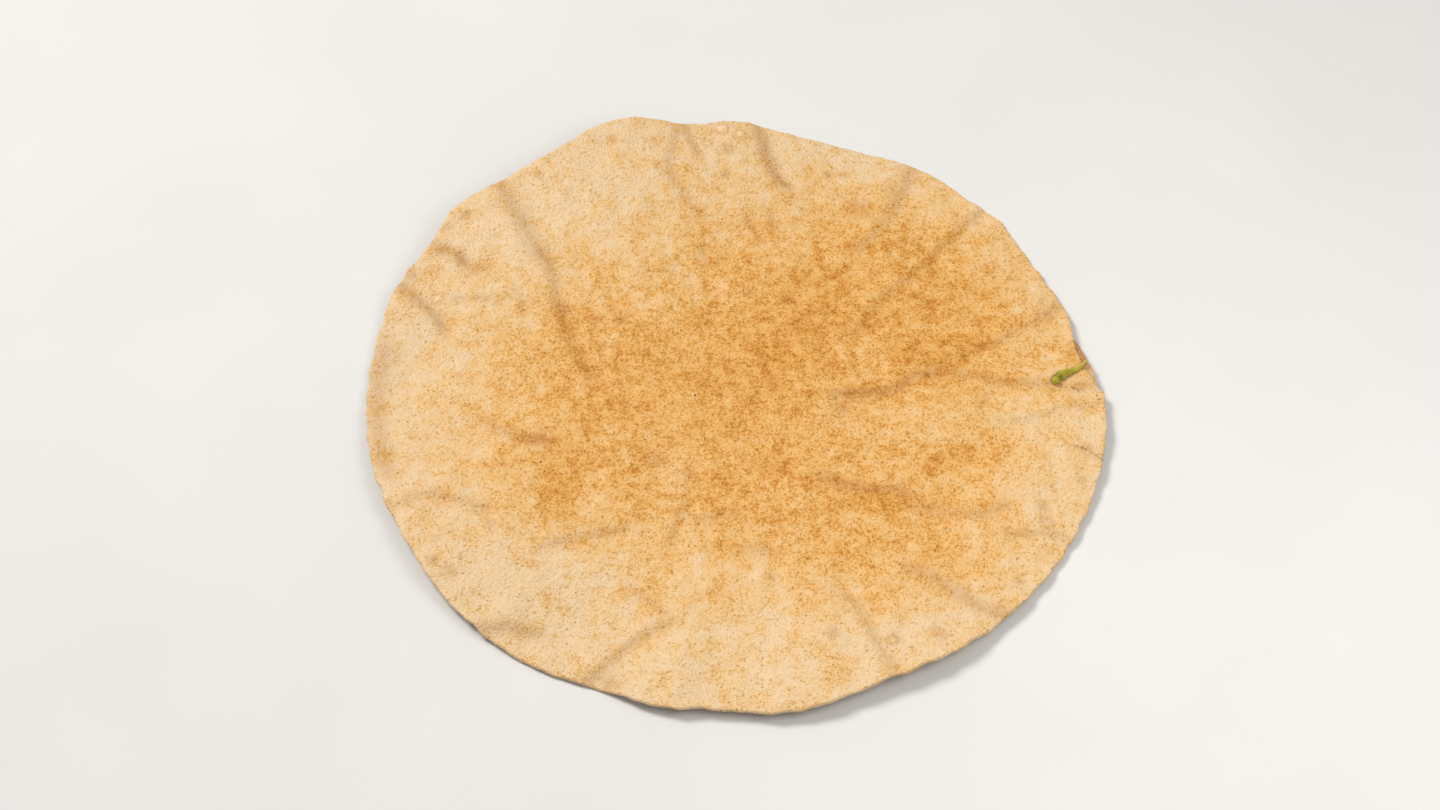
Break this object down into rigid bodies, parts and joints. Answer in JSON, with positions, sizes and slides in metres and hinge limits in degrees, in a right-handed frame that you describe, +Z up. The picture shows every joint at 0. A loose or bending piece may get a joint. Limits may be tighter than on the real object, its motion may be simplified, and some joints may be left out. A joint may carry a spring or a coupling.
{
  "type": "fried poppadom",
  "caption": "Round, thin, rippled fried poppadom with a chipped rim that leaves a small ledge, a hairline crack and a curled sliver of green herb near the rim.",
  "frame": {"origin": "middle of the outline seen from above, on the surface that the poppadom lies on", "axes": "+Z up out of the upper face, +X towards the chipped side of the rim with the herb, +Y towards the raised side of the rim"},
  "size_m": [0.19, 0.189, 0.0085],
  "materials": {
    "crisp": "dry fried lentil dough, golden and browner towards the middle, finely speckled, faint oily sheen",
    "herb": "moist green leaf, soft sheen"
  },
  "bodies": {
    "root": {"poppadom": "crisp", "herb_sliver": "herb"}
  },
  "joints": []
}
